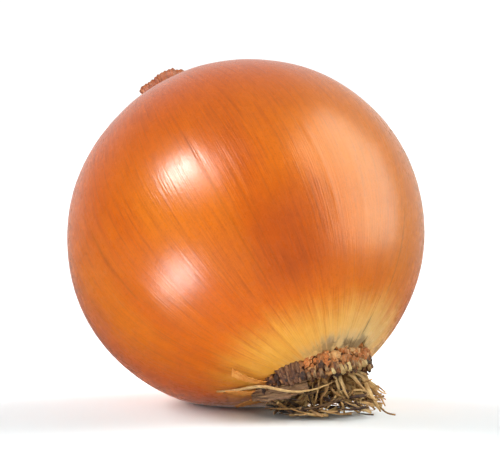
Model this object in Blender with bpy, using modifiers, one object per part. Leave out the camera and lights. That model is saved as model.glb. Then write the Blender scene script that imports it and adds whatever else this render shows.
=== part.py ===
"""Yellow onion, lying on a small flat spot of its side with its root end low and to the front.

Metres, +Z up. The origin is the centre of the flat spot that the onion rests on. The bulb is turned
about its own axis, from the root plate to the dry neck, and then leaned over as a whole.
"""

import math

import bmesh
import bpy
from mathutils import Matrix, Vector

MM = 0.001
GAP = 0.3 * MM  # between pieces that touch on the real onion

# Bulb: an oval turned about its axis, a little wider than it is long
WIDEST_RADIUS = 40.0 * MM
HALF_LENGTH = 38.2 * MM
CENTRE_HEIGHT = 37.4 * MM  # of the bulb's middle above the surface it lies on
LEAN = math.radians(42)  # of the root end away from straight down
HEADING = math.radians(-49)  # of the root end, seen from above, from +X
BULB_STEPS = 60
BULB_RINGS = 30
SHOULDER_HEIGHT = 3.6 * MM  # the skin rises into the neck
SHOULDER_WIDTH = 12.0 * MM
NOSE_HEIGHT = 1.5 * MM  # and stands out a little round the root plate
NOSE_WIDTH = 15.0 * MM
NECK_SEAT_HEIGHT = 40.2 * MM  # from the bulb's middle, along its axis

# The spot that the bulb rests on: pressed flat, with a soft edge
PRESS_SOFTNESS = 1.1 * MM
FLAT_TRIM = 0.02 * MM

# Dry neck
NECK_RADIUS = 5.5 * MM
NECK_HEIGHT = 4.6 * MM
NECK_OFFSET = 1.0 * MM  # the neck has dried a little to one side
NECK_STEPS = 40
NECK_PROFILE = (  # shares of the neck's radius and height, from the middle of its hollow top
    (0, 0.72),
    (0.55, 0.78),
    (0.80, 0.97),
    (0.98, 1),
    (1.06, 0.86),
    (0.98, 0.55),
    (0.93, 0.25),
    (0.96, 0),
    (0, 0),
)
NECK_TWIST = 1.2  # radians, from its foot to its top
NECK_FOLDS, NECK_FOLD_DEPTH = 5, 0.07
NECK_CRINKLES, NECK_CRINKLE_DEPTH = 11, 0.03
NECK_TEARS, NECK_TEAR_DEPTH = 3, 0.06  # in its top rim
NECK_RIM_START = 0.8  # share of its height where the rim begins

# Root plate: a domed button let into the root end, set a little askew
PLATE_RADIUS = 10.9 * MM
PLATE_DEPTH = 1.2 * MM  # sunk into the bulb
PLATE_HEIGHT = 3.5 * MM  # proud of the bulb
PLATE_CENTRE = Vector((17.1, -16.7, 10.5)) * MM
PLATE_LEAN = math.radians(22)
PLATE_HEADING = math.radians(-61)
PLATE_STEPS = 32
PLATE_PROFILE = (  # shares of its radius and of its height, below the bulb's end
    (0.99, 0.45),
    (0.92, 0.74),
    (0.76, 0.92),
    (0.45, 0.98),
    (0, 1),
)
SEAT_REACH = 12.0 * MM  # how far the seat's cutter stands out of the bulb

# Roots
ROOT_RADIUS = 0.42 * MM
ROOT_POINTS = 8
LOW_ROOTS, LOW_START, LOW_HEIGHT = 7, 3.4 * MM, 0.8 * MM
LOW_FIRST, LOW_PITCH = -176, 26  # degrees, seen from above
HIGH_ROOTS, HIGH_START, HIGH_HEIGHT, HIGH_RISE = 9, 6.6 * MM, 2.2 * MM, 0.42 * MM
HIGH_FIRST, HIGH_PITCH = -164, 23
ROOT_BOW = 0.4 * MM
ROOT_LEAVE, ROOT_TURN = 2.6 * MM, 1.2 * MM  # how far a root's bend lies out of the plate and towards its tip
STUBS = 6
STUB_RADIUS = 0.85 * MM
STUB_LENGTH = 2.4 * MM
STUB_FIRST, STUB_PITCH = -28, 19  # degrees round the plate
STUB_SHARES, STUB_TAPER = (0, 0.35, 0.7, 1), (1, 1.05, 0.95, 0.8)
STUB_SPLAY = 0.75  # outwards for each step down
FLOOR_CLEARANCE = 0.15 * MM
NEST_HALF_LENGTH = 12.0 * MM  # how far the root tips spread to the sides
NEST_HALF_DEPTH = 7.5 * MM  # and to the front

# Torn skin beside the root plate
SKIN_THICKNESS = 0.3 * MM
STRIPS = (  # angle from the root end at foot and tip, angle round it, turn (degrees), width, lift (mm)
    (22, 34, -103, -2, 2.2, 0.6),
    (22, 36, -117, -5, 2.4, 0.8),
    (24, 32, -133, -9, 1.8, 0.4),
)
STRIP_STEPS = 7
STRIP_CLEARANCE = 2.2 * GAP
STRIP_NARROWING = 0.85
STRIP_CURL = 0.25 * MM
SCALE_THICKNESS = 0.8 * MM
SCALE_HEIGHT = 2.8 * MM
SCALE_START, SCALE_TURN = -46, -46  # degrees round the plate
SCALE_NEAR, SCALE_SPREAD = 0.82, 0.50  # share of the plate's radius where it starts, and what it gains
SCALE_DROP, SCALE_SAG = 0.8 * MM, 0.4 * MM  # its top edge, below the plate's face

Z_AXIS = Vector((0, 0, 1))


def remove_everything():
    for item in list(bpy.data.objects):
        bpy.data.objects.remove(item, do_unlink=True)


def make_collection(name):
    collection = bpy.data.collections.new(name)
    bpy.context.scene.collection.children.link(collection)
    return collection


def make_material(name, colour, roughness):
    material = bpy.data.materials.new(name)
    material.use_nodes = True
    shader = material.node_tree.nodes["Principled BSDF"]
    shader.inputs["Base Color"].default_value = (*colour, 1)
    shader.inputs["Roughness"].default_value = roughness
    shader.inputs["Metallic"].default_value = 0
    material.diffuse_color = (*colour, 1)
    return material


def add_mesh_object(name, bm, collection, material=None):
    mesh = bpy.data.meshes.new(name)
    bm.to_mesh(mesh)
    bm.free()
    mesh.shade_smooth()
    mesh.set_sharp_from_angle(angle=math.radians(40))
    if material:
        mesh.materials.append(material)
    item = bpy.data.objects.new(name, mesh)
    collection.objects.link(item)
    return item


def turned(profile, steps):
    """Solid of revolution about Z. The profile runs from the axis at the top to the axis at the bottom."""
    bm = bmesh.new()
    points = [bm.verts.new((radius, 0, height)) for radius, height in profile]
    lines = [bm.edges.new(pair) for pair in zip(points, points[1:])]
    bmesh.ops.spin(
        bm,
        geom=points + lines,
        cent=(0, 0, 0),
        axis=(0, 0, 1),
        angle=math.tau,
        steps=steps,
        use_merge=True,
    )
    bmesh.ops.remove_doubles(bm, verts=bm.verts, dist=1e-6)
    bmesh.ops.recalc_face_normals(bm, faces=bm.faces)
    return bm


def leaned(lean, heading):
    """Turns a piece whose root end points down so that this end leans over towards the heading."""
    return Matrix.Rotation(heading, 4, "Z") @ Matrix.Rotation(-lean, 4, "Y")


def bulb_frame():
    return Matrix.Translation((0, 0, CENTRE_HEIGHT)) @ leaned(LEAN, HEADING)


def plate_frame():
    """The root plate's frame: -Z points out of the plate, +X up the bulb."""
    return Matrix.Translation(PLATE_CENTRE) @ leaned(PLATE_LEAN, PLATE_HEADING)


def bulb_radius(angle):
    """Distance of the skin from the bulb's middle, by the angle from the root end."""
    mean = (WIDEST_RADIUS + HALF_LENGTH) / 2
    return mean - (WIDEST_RADIUS - HALF_LENGTH) / 2 * math.cos(2 * angle)


def bulb_point(angle, around, lift=0):
    """World place of a point over the skin, by its angles from and around the root end."""
    distance = bulb_radius(angle) + lift
    out = distance * math.sin(angle)
    nose = NOSE_HEIGHT * math.exp(-((out / NOSE_WIDTH) ** 2))
    depth = distance * math.cos(angle) + nose
    local = Vector((out * math.cos(around), out * math.sin(around), -depth))
    return bulb_frame() @ local


def bulb_profile():
    points = []
    for ring in range(BULB_RINGS + 1):
        angle = math.pi * (1 - ring / BULB_RINGS)
        radius = bulb_radius(angle) * abs(math.sin(angle))
        height = -bulb_radius(angle) * math.cos(angle)
        if height > 0:
            height += SHOULDER_HEIGHT * math.exp(-((radius / SHOULDER_WIDTH) ** 2))
        else:
            height -= NOSE_HEIGHT * math.exp(-((radius / NOSE_WIDTH) ** 2))
        points.append((radius, min(height, NECK_SEAT_HEIGHT)))
    points[0] = (0, NECK_SEAT_HEIGHT)
    points[-1] = (0, points[-1][1])
    return points


def pressed(height):
    """Height of a point after the bulb's own weight has pressed it onto the surface below."""
    if height >= PRESS_SOFTNESS:
        return height
    if height <= -PRESS_SOFTNESS:
        return 0
    return (height + PRESS_SOFTNESS) ** 2 / (4 * PRESS_SOFTNESS)


def make_bulb(collection, material, seat_cutter):
    bm = turned(bulb_profile(), BULB_STEPS)
    bmesh.ops.transform(bm, matrix=bulb_frame(), verts=bm.verts)
    for vert in bm.verts:
        vert.co.z = pressed(vert.co.z) - FLAT_TRIM
    everything = bm.verts[:] + bm.edges[:] + bm.faces[:]
    cut = bmesh.ops.bisect_plane(
        bm, geom=everything, plane_co=(0, 0, 0), plane_no=(0, 0, -1), clear_outer=True
    )
    rim = [part for part in cut["geom_cut"] if isinstance(part, bmesh.types.BMEdge)]
    bmesh.ops.contextual_create(bm, geom=rim)
    bmesh.ops.recalc_face_normals(bm, faces=bm.faces)
    bulb = add_mesh_object("bulb", bm, collection, material)
    seat = bulb.modifiers.new("root_plate_seat", "BOOLEAN")
    seat.operation = "DIFFERENCE"
    seat.solver = "EXACT"
    seat.object = seat_cutter
    return bulb


def make_seat_cutter(collection):
    """The hole that the root plate sits in, a gap wider than the plate all round."""
    bm = turned(
        [
            (0, PLATE_DEPTH + GAP),
            (PLATE_RADIUS + GAP, PLATE_DEPTH + GAP),
            (PLATE_RADIUS + GAP, -SEAT_REACH),
            (0, -SEAT_REACH),
        ],
        PLATE_STEPS,
    )
    bmesh.ops.transform(bm, matrix=plate_frame(), verts=bm.verts)
    cutter = add_mesh_object("root_plate_cutter", bm, collection)
    cutter.hide_render = True
    cutter.display_type = "WIRE"
    return cutter


def make_dry_neck(collection, material):
    """Stub of the dried leaves: flared, folded and hollow on top."""
    profile = [(NECK_RADIUS * radius, NECK_HEIGHT * height) for radius, height in NECK_PROFILE]
    bm = turned(profile, NECK_STEPS)
    for vert in bm.verts:
        around = math.atan2(vert.co.y, vert.co.x)
        twist = NECK_TWIST * vert.co.z / NECK_HEIGHT
        fold = 1 + NECK_FOLD_DEPTH * math.cos(NECK_FOLDS * (around + twist))
        fold += NECK_CRINKLE_DEPTH * math.cos(NECK_CRINKLES * around)
        vert.co.x *= fold
        vert.co.y *= fold
        if vert.co.z > NECK_HEIGHT * NECK_RIM_START:
            vert.co.z += NECK_TEAR_DEPTH * NECK_HEIGHT * math.cos(NECK_TEARS * around + 1)
    place = bulb_frame() @ Matrix.Translation((0, NECK_OFFSET, NECK_SEAT_HEIGHT + GAP))
    bmesh.ops.transform(bm, matrix=place, verts=bm.verts)
    return add_mesh_object("dry_neck", bm, collection, material)


def make_root_plate(collection, material):
    profile = [(0, PLATE_DEPTH), (PLATE_RADIUS, PLATE_DEPTH)]
    profile += [(PLATE_RADIUS * radius, -PLATE_HEIGHT * height) for radius, height in PLATE_PROFILE]
    bm = turned(profile, PLATE_STEPS)
    bmesh.ops.transform(bm, matrix=plate_frame(), verts=bm.verts)
    return add_mesh_object("root_plate", bm, collection, material)


def add_tube(name, points, radii, depth, collection, material):
    curve = bpy.data.curves.new(name, "CURVE")
    curve.dimensions = "3D"
    curve.bevel_depth = depth
    curve.bevel_resolution = 2
    curve.use_fill_caps = True
    spline = curve.splines.new("POLY")
    spline.points.add(len(points) - 1)
    for point, place, radius in zip(spline.points, points, radii):
        point.co = (*place, 1)
        point.radius = radius
    curve.materials.append(material)
    item = bpy.data.objects.new(name, curve)
    collection.objects.link(item)
    return item


def root_path(heading, start_radius, end_height, spread, bow):
    """A root that leaves the plate square to its face and bends over into the heading."""
    frame = plate_frame()
    out = (frame.to_3x3() @ -Z_AXIS).normalized()
    level = Vector((math.cos(heading), math.sin(heading), 0))
    across = (level - out * level.dot(out)).normalized()
    face_drop = 1 - 0.1 * (start_radius / PLATE_RADIUS) ** 2
    middle = PLATE_CENTRE + out * (PLATE_HEIGHT * face_drop + GAP + ROOT_RADIUS * 0.5)
    start = middle + across * start_radius
    end = Vector((middle.x, middle.y, end_height))
    end += Vector((level.x * NEST_HALF_LENGTH, level.y * NEST_HALF_DEPTH, 0)) * spread
    bend = start + out * ROOT_LEAVE + level * ROOT_TURN
    side = Z_AXIS.cross(level)
    path = []
    for step in range(ROOT_POINTS):
        t = step / (ROOT_POINTS - 1)
        point = start * (1 - t) ** 2 + bend * 2 * t * (1 - t) + end * t**2
        point += side * bow * math.sin(math.pi * 1.5 * t) * t
        point.z = max(point.z, ROOT_RADIUS + FLOOR_CLEARANCE)
        path.append(point)
    return path


def make_roots(collection, material):
    """Two layers of roots, fanned from the left, round the front, to the right."""
    taper = [1.05 - 0.45 * step / (ROOT_POINTS - 1) for step in range(ROOT_POINTS)]
    paths = []
    for number in range(LOW_ROOTS):
        heading = math.radians(LOW_FIRST + LOW_PITCH * number)
        spread = 0.95 + 0.08 * math.cos(2.1 * number)
        bow = ROOT_BOW * math.sin(1.7 * number)
        paths.append(root_path(heading, LOW_START, LOW_HEIGHT, spread, bow))
    for number in range(HIGH_ROOTS):
        heading = math.radians(HIGH_FIRST + HIGH_PITCH * number)
        spread = 1.04 + 0.1 * math.cos(1.3 * number + 0.4)
        height = HIGH_HEIGHT + HIGH_RISE * number
        bow = ROOT_BOW * math.sin(2.3 * number + 1)
        paths.append(root_path(heading, HIGH_START, height, spread, bow))
    for number, path in enumerate(paths, start=1):
        add_tube(f"root_{number:02d}", path, taper, ROOT_RADIUS, collection, material)


def make_stubs(collection, material):
    """Cut root ends that stand on the upper flank of the plate."""
    frame = plate_frame()
    for number in range(STUBS):
        around = math.radians(STUB_FIRST + STUB_PITCH * number)
        out = frame.to_3x3() @ Vector((math.cos(around), math.sin(around), 0))
        down = frame.to_3x3() @ -Z_AXIS
        direction = (out * STUB_SPLAY + down).normalized()
        foot = PLATE_CENTRE + out * PLATE_RADIUS * 0.90 + down * (0.74 * PLATE_HEIGHT + 2 * GAP)
        points = [foot + direction * STUB_LENGTH * share for share in STUB_SHARES]
        add_tube(f"root_stub_{number + 1}", points, STUB_TAPER, STUB_RADIUS, collection, material)


def make_skin_strip(number, collection, material, start, end, around, turn, width, lift):
    """Sliver of torn skin: it starts at the root plate and stands further off the bulb to its tip."""
    bm = bmesh.new()
    bmesh.ops.create_grid(bm, x_segments=STRIP_STEPS, y_segments=2, size=1)
    for vert in bm.verts:
        along = (vert.co.x + 1) / 2
        across = vert.co.y
        angle = start + (end - start) * along
        half_width = width / 2 * (1 - STRIP_NARROWING * along**2)
        sweep = around + turn * along + across * half_width / (bulb_radius(angle) * math.sin(angle))
        rise = STRIP_CLEARANCE + lift * along**1.5 + STRIP_CURL * across**2
        vert.co = bulb_point(angle, sweep, rise)
    bmesh.ops.recalc_face_normals(bm, faces=bm.faces)
    strip = add_mesh_object(f"skin_strip_{number}", bm, collection, material)
    thickness = strip.modifiers.new("thickness", "SOLIDIFY")
    thickness.thickness = SKIN_THICKNESS
    thickness.offset = 0
    return strip


def make_dry_scale(collection, material):
    """Stiff brown remnant of an old scale, hanging below the plate's left side and curving away."""
    frame = plate_frame()
    bm = bmesh.new()
    bmesh.ops.create_grid(bm, x_segments=8, y_segments=3, size=1)
    for vert in bm.verts:
        along = (vert.co.x + 1) / 2
        down = (vert.co.y + 1) / 2
        around = math.radians(SCALE_START + SCALE_TURN * along)
        radius = PLATE_RADIUS * (SCALE_NEAR + SCALE_SPREAD * along**1.4)
        top = PLATE_HEIGHT + SCALE_DROP + SCALE_SAG * along
        height = SCALE_HEIGHT * (0.45 + 0.55 * math.sin(math.pi * (0.15 + 0.8 * along)))
        drop = top + height * down
        vert.co = frame @ Vector((radius * math.cos(around), radius * math.sin(around), -drop))
    bmesh.ops.recalc_face_normals(bm, faces=bm.faces)
    scale = add_mesh_object("dry_scale", bm, collection, material)
    thickness = scale.modifiers.new("thickness", "SOLIDIFY")
    thickness.thickness = SCALE_THICKNESS
    thickness.offset = 0
    return scale


def main():
    remove_everything()
    onion = make_collection("onion")
    cutters = make_collection("cutters")
    skin = make_material("onion_skin", (0.73, 0.14, 0.012), 0.3)
    neck = make_material("neck_paper", (0.45, 0.13, 0.03), 0.6)
    plate = make_material("plate_cork", (0.20, 0.10, 0.045), 0.85)
    root = make_material("dried_root", (0.52, 0.34, 0.16), 0.75)
    stub = make_material("cut_root", (0.72, 0.52, 0.24), 0.7)
    torn = make_material("torn_skin", (0.78, 0.38, 0.13), 0.5)
    scale = make_material("old_scale", (0.28, 0.17, 0.10), 0.8)
    make_bulb(onion, skin, make_seat_cutter(cutters))
    make_dry_neck(onion, neck)
    make_root_plate(onion, plate)
    make_roots(onion, root)
    make_stubs(onion, stub)
    for number, (start, end, around, turn, width, lift) in enumerate(STRIPS, start=1):
        angles = [math.radians(value) for value in (start, end, around, turn)]
        make_skin_strip(number, onion, torn, *angles, width * MM, lift * MM)
    make_dry_scale(onion, scale)


main()
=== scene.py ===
# %% [markdown]
# # A yellow onion with its root end to the front
#
# The CAD part gives the onion's size and place: an oval bulb leaned over on a small flat spot, a dry neck,
# a root plate, roots, and scraps of torn skin. This lesson builds what the eye sees over those solids:
# papery skin with veins, a crumbly root crown, a nest of dried roots, and the studio light on them.
# The frame comes first, and its box is kept, because the finished onion has to stay the size of the part.

import contextlib
import math
import random

import bpy
import numpy as np
from mathutils import Matrix, Vector, noise


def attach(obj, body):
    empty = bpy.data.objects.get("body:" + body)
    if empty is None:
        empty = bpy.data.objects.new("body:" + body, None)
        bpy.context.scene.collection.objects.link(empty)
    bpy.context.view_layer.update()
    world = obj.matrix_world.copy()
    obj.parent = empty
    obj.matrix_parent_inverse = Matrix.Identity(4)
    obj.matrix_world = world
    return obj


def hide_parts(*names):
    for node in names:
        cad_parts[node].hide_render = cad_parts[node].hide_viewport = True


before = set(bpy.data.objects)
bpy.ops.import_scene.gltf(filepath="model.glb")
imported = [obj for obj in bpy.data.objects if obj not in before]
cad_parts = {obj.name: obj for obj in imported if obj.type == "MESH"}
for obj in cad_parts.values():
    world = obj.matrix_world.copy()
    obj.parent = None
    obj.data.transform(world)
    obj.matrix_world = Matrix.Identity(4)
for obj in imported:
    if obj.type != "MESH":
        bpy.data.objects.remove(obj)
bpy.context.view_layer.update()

# %% [markdown]
# ## The onion's own dimensions
#
# An onion is turned about the line from its root plate to its neck, so nearly everything on it is easiest to
# place by two angles: how far from the root end, and how far round. The part leans this line over by 42
# degrees. The root plate sits a little askew, so it has a frame of its own.

# %% Driving dimensions
MM = 0.001
WIDEST_RADIUS = 40.0 * MM
HALF_LENGTH = 38.2 * MM
CENTRE_HEIGHT = 37.4 * MM
LEAN, HEADING = math.radians(42), math.radians(-49)
SHOULDER_HEIGHT, SHOULDER_WIDTH = 3.6 * MM, 12.0 * MM
NOSE_HEIGHT, NOSE_WIDTH = 1.5 * MM, 15.0 * MM
NECK_SEAT_HEIGHT = 40.2 * MM
PRESS_SOFTNESS = 1.1 * MM
SWELL = 0.15 * MM  # dry skin stands a hair proud of the bulb
NECK_RADIUS, NECK_HEIGHT, NECK_OFFSET = 5.5 * MM, 4.6 * MM, 1.0 * MM
PLATE_RADIUS, PLATE_HEIGHT = 10.9 * MM, 3.5 * MM
PLATE_CENTRE = Vector((17.1, -16.7, 10.5)) * MM
PLATE_LEAN, PLATE_HEADING = math.radians(22), math.radians(-61)


def leaned(lean, heading):
    return Matrix.Rotation(heading, 4, "Z") @ Matrix.Rotation(-lean, 4, "Y")


BULB_FRAME = Matrix.Translation((0, 0, CENTRE_HEIGHT)) @ leaned(LEAN, HEADING)
PLATE_FRAME = Matrix.Translation(PLATE_CENTRE) @ leaned(PLATE_LEAN, PLATE_HEADING)


def moved(points, matrix):
    """Points, one to a row, taken through a matrix."""
    matrix = np.array(matrix)
    return points @ matrix[:3, :3].T + matrix[:3, 3]


def ramp(value, low, high):
    """0 below low, 1 above high, and a smooth step between."""
    share = np.clip((value - low) / (high - low), 0, 1)
    return share * share * (3 - 2 * share)


def hump(value, middle, width):
    return np.exp(-(((value - middle) / width) ** 2))


def wrapped(degrees):
    """The same angle between -180 and 180."""
    return (degrees + 180) % 360 - 180


def turned(radius, turn, height):
    """Places by their distance from an axis, their angle round it and their height along it."""
    return np.stack(np.broadcast_arrays(radius * np.cos(turn), radius * np.sin(turn), height), -1)


# %% [markdown]
# ## Small helpers for modelling
#
# Operators act on whatever is selected, so each step starts from an empty selection. `points_of` and
# `set_points` read and write all of a mesh's vertices at once, which is how the sculpted shapes are made:
# a primitive gives a clean net of faces, and its vertices are then moved by a rule.

# %% Modelling helpers
BODY = "root"


def deselect():
    bpy.ops.object.select_all(action="DESELECT")


def added(operator, **settings):
    """Runs an operator that adds an object, and returns the object."""
    deselect()
    operator(**settings)
    return bpy.context.object


def points_of(mesh):
    points = np.empty(len(mesh.vertices) * 3)
    mesh.vertices.foreach_get("co", points)
    return points.reshape(-1, 3)


def set_points(mesh, points):
    mesh.vertices.foreach_set("co", np.ascontiguousarray(points, dtype=np.float32).ravel())
    mesh.update()


def mark(mesh, name, values):
    """Stores one number per vertex, for a material to read."""
    layer = mesh.attributes.new(name, "FLOAT", "POINT")
    layer.data.foreach_set("value", np.ascontiguousarray(values, dtype=np.float32))


def apply_modifier(piece, kind, **settings):
    modifier = piece.modifiers.new(kind.lower(), kind)
    for name, value in settings.items():
        setattr(modifier, name, value)
    deselect()
    piece.select_set(True)
    bpy.context.view_layer.objects.active = piece
    bpy.ops.object.modifier_apply(modifier=modifier.name)


def finish_piece(piece, name, material, nodes=()):
    piece.name = piece.data.name = name
    piece.data.materials.clear()
    piece.data.materials.append(material)
    piece.data.shade_smooth()
    if nodes:
        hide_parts(*nodes)
    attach(piece, BODY)
    print(name, len(piece.data.polygons), "faces")


def joined(pieces):
    deselect()
    for piece in pieces:
        piece.select_set(True)
    bpy.context.view_layer.objects.active = pieces[0]
    bpy.ops.object.join()
    bpy.ops.object.transform_apply(location=True, rotation=True, scale=True)
    return bpy.context.view_layer.objects.active


@contextlib.contextmanager
def editing():
    """Edit mode on the active mesh, with everything selected."""
    bpy.ops.object.mode_set(mode="EDIT")
    bpy.ops.mesh.select_all(action="SELECT")
    yield
    bpy.ops.object.mode_set(mode="OBJECT")


def weld_and_face_out():
    """Merges points that lie on each other, and turns all faces outwards."""
    with editing():
        bpy.ops.mesh.remove_doubles(threshold=1e-6)
        bpy.ops.mesh.normals_make_consistent(inside=False)


def wrapped_grid(round_cuts, long_cuts, rule):
    """A grid wrapped into a closed shape by a rule of the degrees round and the share from pole to pole."""
    cuts = {"x_subdivisions": round_cuts, "y_subdivisions": long_cuts}
    piece = added(bpy.ops.mesh.primitive_grid_add, **cuts, size=2, calc_uvs=False)
    flat = points_of(piece.data)
    places, marks = rule(flat[:, 0] * 180, (flat[:, 1] + 1) / 2)
    set_points(piece.data, places)
    for name, values in marks.items():
        mark(piece.data, name, values)
    weld_and_face_out()
    return piece


# %% [markdown]
# ## Writing shader maths as sums
#
# A material on a natural thing is mostly arithmetic: a vein is a narrow hump of an angle, a blush is a slow
# noise. `Wire` wraps a socket so that `1 - mask` or `a * b` adds the Math node itself, and `Finish.node` adds
# any other node. Colours never go through Math nodes, which would turn them grey.

# %% Shader helpers
class Wire:
    """A socket, which grows Math nodes when it is used in sums."""

    def __init__(self, finish, socket):
        self.finish, self.socket = finish, socket

    def math(self, operation, *values):
        return self.finish.node("ShaderNodeMath", {"operation": operation}, values)

    def __add__(self, other):
        return self.math("ADD", self, other)

    def __sub__(self, other):
        return self.math("SUBTRACT", self, other)

    def __rsub__(self, other):
        return self.math("SUBTRACT", other, self)

    def __mul__(self, other):
        return self.math("MULTIPLY", self, other)

    def __truediv__(self, other):
        return self.math("DIVIDE", self, other)

    def __pow__(self, other):
        return self.math("POWER", self, other)

    def __neg__(self):
        return self * -1

    __radd__, __rmul__ = __add__, __mul__

    def magnitude(self):
        return self.math("ABSOLUTE", self)

    def at_least(self, other):
        return self.math("MAXIMUM", self, other)

    def degrees_from(self, other):
        """The angle of the point (other, self) round the origin."""
        return self.math("ARCTAN2", self, other) * (180 / math.pi)

    def step(self, low, high):
        """A smooth step from 0 at low to 1 at high."""
        settings = {"interpolation_type": "SMOOTHSTEP"}
        sockets = {"Value": self, "From Min": low, "From Max": high}
        return self.finish.node("ShaderNodeMapRange", settings, sockets)

    def hump(self, middle, width):
        """1 at the middle, falling off to both sides."""
        return self.math("EXPONENT", -(((self - middle) * (1 / width)) ** 2))

    def between(self, low, high, soft):
        return self.step(low, low + soft) * (1 - self.step(high - soft, high))


class Nodes:
    """The node tree of a material or a world, and the shader that it feeds."""

    def __init__(self, owner, shader):
        owner.use_nodes = True
        self.tree = owner.node_tree
        self.shader = self.tree.nodes[shader]

    def node(self, kind, settings=None, sockets=(), output=0):
        node = self.tree.nodes.new(kind)
        for name, value in (settings or {}).items():
            if name == "stops":
                set_stops(node.color_ramp, value)
            else:
                setattr(node, name, value)
        for key, value in sockets.items() if isinstance(sockets, dict) else enumerate(sockets):
            self.feed(node.inputs[key], value)
        return Wire(self, node.outputs[output])

    def feed(self, socket, value):
        if isinstance(value, Wire):
            self.tree.links.new(value.socket, socket)
        else:
            socket.default_value = value

    def shade(self, **sockets):
        """Sets or links sockets of the shader, with _ for a space."""
        for name, value in sockets.items():
            self.feed(self.shader.inputs[name.replace("_", " ")], value)

    def parts(self, vector):
        split = self.node("ShaderNodeSeparateXYZ", {}, (vector,))
        return [Wire(self, socket) for socket in split.socket.node.outputs]


class Finish(Nodes):
    """A material under construction."""

    def __init__(self, name):
        self.material = bpy.data.materials.new(name)
        super().__init__(self.material, "Principled BSDF")

    def noise(self, vector, scale, detail=2.0, roughness=0.5):
        sockets = {"Vector": vector, "Scale": scale, "Detail": detail, "Roughness": roughness}
        return self.node("ShaderNodeTexNoise", {}, sockets)

    def lay(self, share, paint, blend="MIX"):
        """Lays a share of one more paint over the colour so far."""
        settings = {"data_type": "RGBA", "blend_type": blend}
        self.colour = self.node("ShaderNodeMix", settings, {0: share, 6: self.colour, 7: paint}, output=2)

    def ramp(self, value, stops):
        """A colour for each value, between stops of (place, red, green, blue)."""
        stops = [(place, tint(*paint)) for place, *paint in stops]
        return self.node("ShaderNodeValToRGB", {"stops": stops}, (value,))

    def vector(self, x, y, z):
        return self.node("ShaderNodeCombineXYZ", {}, (x, y, z))

    def attribute(self, name):
        return self.node("ShaderNodeAttribute", {"attribute_name": name}, output="Fac")

    def object_place(self, matrix=None, scale=(1, 1, 1)):
        """The Object coordinates, seen from the frame of a matrix."""
        place = self.node("ShaderNodeTexCoord", {}, output="Object")
        if matrix is None:
            matrix = Matrix.Identity(4)
        turn = matrix.to_euler()
        sockets = {"Vector": place, "Location": matrix.translation, "Rotation": turn, "Scale": scale}
        return self.node("ShaderNodeMapping", {"vector_type": "TEXTURE"}, sockets)

    def bump(self, height):
        """Height in millimetres."""
        sockets = {"Height": height, "Distance": MM, "Strength": 1.0}
        self.shade(Normal=self.node("ShaderNodeBump", {}, sockets))

    def coat(self, colour, roughness, gloss, height):
        self.shade(Base_Color=colour, Roughness=roughness, Specular_IOR_Level=gloss)
        self.bump(height)
        return self.material


def set_stops(ramp_data, stops):
    while len(ramp_data.elements) < len(stops):
        ramp_data.elements.new(1)
    for element, (place, tint) in zip(ramp_data.elements, stops):
        element.position = place
        element.color = tint


def tint(red, green, blue):
    """A colour as a paint chart gives it, 0 to 255, as the linear light that shaders work in."""
    values = [v / 255 for v in (red, green, blue)]
    return (*[v / 12.92 if v <= 0.04045 else ((v + 0.055) / 1.055) ** 2.4 for v in values], 1)


# %% [markdown]
# ## Camera and studio
#
# The camera looks from just above the table through a long lens, so that the onion keeps its round outline.
# The room is white behind the onion and darker on the camera's side, and the floor fades into it. The gloss
# sees two soft boxes at the left, with a wider glow beside the upper one, and a tall window at the right.
# Suns light the skin and stay out of the gloss. Light linking gives the table two suns of its own, one from
# each side, so that only the spot under the onion is dark.

# %% Camera
AIM = Vector((0.9, 0, 38.56)) * MM
CAMERA_DISTANCE, CAMERA_RISE = 600 * MM, math.radians(4)
LENS, SENSOR = 193.7, 36

from_aim = Vector((0, -math.cos(CAMERA_RISE), math.sin(CAMERA_RISE))) * CAMERA_DISTANCE
bpy.ops.object.camera_add(location=AIM + from_aim, rotation=(math.pi / 2 - CAMERA_RISE, 0, 0))
camera = bpy.context.object
camera.name = "camera"
camera.data.lens = LENS
camera.data.sensor_width = SENSOR
camera.data.clip_start = 0.01
bpy.context.scene.camera = camera
print("camera at", [round(v, 3) for v in camera.location])

# %% World and floor
scene = bpy.context.scene
scene.view_settings.view_transform = "Standard"
scene.view_settings.look = "None"
ROOM_DARK = 0.12  # the room on the camera's side
ROOM_BRIGHT = 1.0  # and behind the onion
ROOM_BELOW = 0.3  # how much of it is left below the horizon
BACKDROP = 1.1  # how bright it looks behind the onion
FLOOR_SIZE, FLOOR_DROP = 4, 0.05 * MM

scene.world = bpy.data.worlds.new("white_room")
room = Nodes(scene.world, "Background")
_, depth, height = room.parts(room.node("ShaderNodeTexCoord", output="Generated"))


def room_ramp(value, start, end, low, high):
    limits = {"Value": value, "From Min": start, "From Max": end, "To Min": low, "To Max": high}
    return room.node("ShaderNodeMapRange", {"interpolation_type": "SMOOTHSTEP"}, limits)


behind = room_ramp(depth, -0.05, 0.9, ROOM_DARK, ROOM_BRIGHT)
above = room_ramp(height, -0.3, 0.1, ROOM_BELOW, 1)
seen = room.node("ShaderNodeLightPath", output="Is Camera Ray")
strength = room.node("ShaderNodeMix", {"data_type": "FLOAT"}, {0: seen, 2: behind * above, 3: BACKDROP})
room.shade(Strength=strength, Color=(1, 1, 1, 1))

bpy.ops.mesh.primitive_plane_add(size=FLOOR_SIZE, location=(0, 0, -FLOOR_DROP))
floor = bpy.context.object
floor.name = "floor"
floor.visible_glossy = False
floor.visible_shadow = False
white = Finish("white_table")
white.shade(Base_Color=(0.83, 0.89, 0.91, 1), Roughness=0.9, Specular_IOR_Level=0.1)
floor.data.materials.append(white.material)


# %% Soft boxes
MIDDLE = Vector((0, 0, CENTRE_HEIGHT))


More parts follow.
